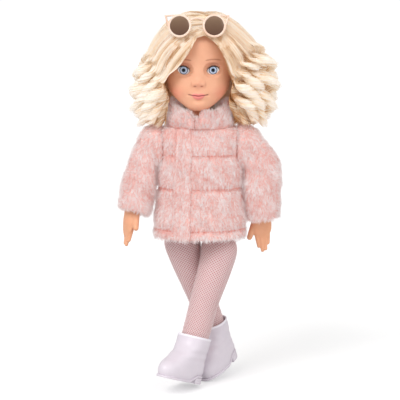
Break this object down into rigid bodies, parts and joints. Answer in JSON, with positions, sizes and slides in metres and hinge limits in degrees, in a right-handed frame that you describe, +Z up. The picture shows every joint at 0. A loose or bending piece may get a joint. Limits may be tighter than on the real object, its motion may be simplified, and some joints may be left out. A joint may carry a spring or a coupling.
{
  "type": "play doll",
  "caption": "Jointed play doll with stuffed cloth body, waved blonde wig, raised sunglasses, quilted pink fur jacket, net tights and pale ankle boots.",
  "frame": {"origin": "centre of the bounding box at floor level, between the boots", "axes": "+Z up the doll, -Y the way it faces, +X its left side"},
  "size_m": [0.2052, 0.1616, 0.4742],
  "materials": {
    "skin": "soft matte vinyl, peach",
    "cloth": "plain woven cotton",
    "hair": "pale blonde fibre, waved",
    "fur": "short pale pink pile, quilted",
    "tape": "woven closure tape",
    "tights": "fine pink-white net",
    "boot": "smooth pale lilac-white",
    "sole": "matt pale sole",
    "frame": "pale rose, glossy",
    "lens": "brown tinted",
    "eye": "glossy white",
    "iris": "light blue-grey, glossy",
    "lash": "dark brown fibre",
    "plastic": "plain moulded",
    "weight": "dull grey metal"
  },
  "bodies": {
    "body": {"torso": "cloth", "neck_disc": "plastic", "left_shoulder_disc": "plastic", "right_shoulder_disc": "plastic", "tights_waist": "tights", "jacket_back": "fur", "jacket_right_front": "fur", "jacket_left_front": "fur", "closure_loop_strip": "tape", "closure_hook_strip": "tape", "jacket_placket": "fur", "jacket_collar": "fur"},
    "head": {"head_shell": "skin", "hair_fringe": "hair", "hair_crown": "hair", "hair_left_curls": "hair", "hair_right_curls": "hair", "hair_back_curls": "hair"},
    "eyes": {"left_iris": "iris", "left_eyeball": "eye", "left_lashes": "lash", "right_iris": "iris", "right_eyeball": "eye", "right_lashes": "lash", "eye_bar": "plastic", "eye_weight": "weight"},
    "sunglasses": {"sunglasses_frame": "frame", "left_lens": "lens", "right_lens": "lens"},
    "left_arm": {"left_arm": "skin", "jacket_left_sleeve": "fur"},
    "right_arm": {"right_arm": "skin", "jacket_right_sleeve": "fur"},
    "left_hip": {"left_hip_cup": "plastic"},
    "right_hip": {"right_hip_cup": "plastic"},
    "left_leg": {"left_leg": "skin", "tights_left_leg": "tights", "left_boot_upper": "boot", "left_boot_sole": "sole", "left_boot_heel": "sole"},
    "right_leg": {"right_leg": "skin", "tights_right_leg": "tights", "right_boot_upper": "boot", "right_boot_sole": "sole", "right_boot_heel": "sole"}
  },
  "joints": [
    {"name": "neck_turn", "type": "hinge", "parent": "body", "child": "head", "pos_m": [-0.002, 0.0126, 0.3246], "axis": [0, 0, 1], "range_deg": [-22, 22]},
    {"name": "eye_close", "type": "hinge", "parent": "head", "child": "eyes", "pos_m": [-0.002, -0.0092, 0.4003], "axis": [1, 0, 0], "range_deg": [0, 42]},
    {"name": "sunglasses_lift", "type": "slide", "parent": "head", "child": "sunglasses", "axis": [0, 0.2079, 0.9781], "range_m": [0, 0.06]},
    {"name": "left_shoulder_swing", "type": "hinge", "parent": "body", "child": "left_arm", "pos_m": [0.059, 0.0126, 0.3003], "axis": [-1, 0, 0], "range_deg": [-40, 88]},
    {"name": "right_shoulder_swing", "type": "hinge", "parent": "body", "child": "right_arm", "pos_m": [-0.059, 0.0126, 0.3003], "axis": [-1, 0, 0], "range_deg": [-50, 78]},
    {"name": "left_hip_spread", "type": "hinge", "parent": "body", "child": "left_hip", "pos_m": [0.028, 0.0126, 0.2098], "axis": [0, -1, 0], "range_deg": [0, 6]},
    {"name": "left_hip_swing", "type": "hinge", "parent": "left_hip", "child": "left_leg", "pos_m": [0.028, 0.0126, 0.2098], "axis": [-1, 0, 0], "range_deg": [0, 7]},
    {"name": "right_hip_spread", "type": "hinge", "parent": "body", "child": "right_hip", "pos_m": [-0.028, 0.0126, 0.2158], "axis": [0, 1, 0], "range_deg": [0, 6]},
    {"name": "right_hip_swing", "type": "hinge", "parent": "right_hip", "child": "right_leg", "pos_m": [-0.028, 0.0126, 0.2158], "axis": [-1, 0, 0], "range_deg": [-12, 0]}
  ]
}
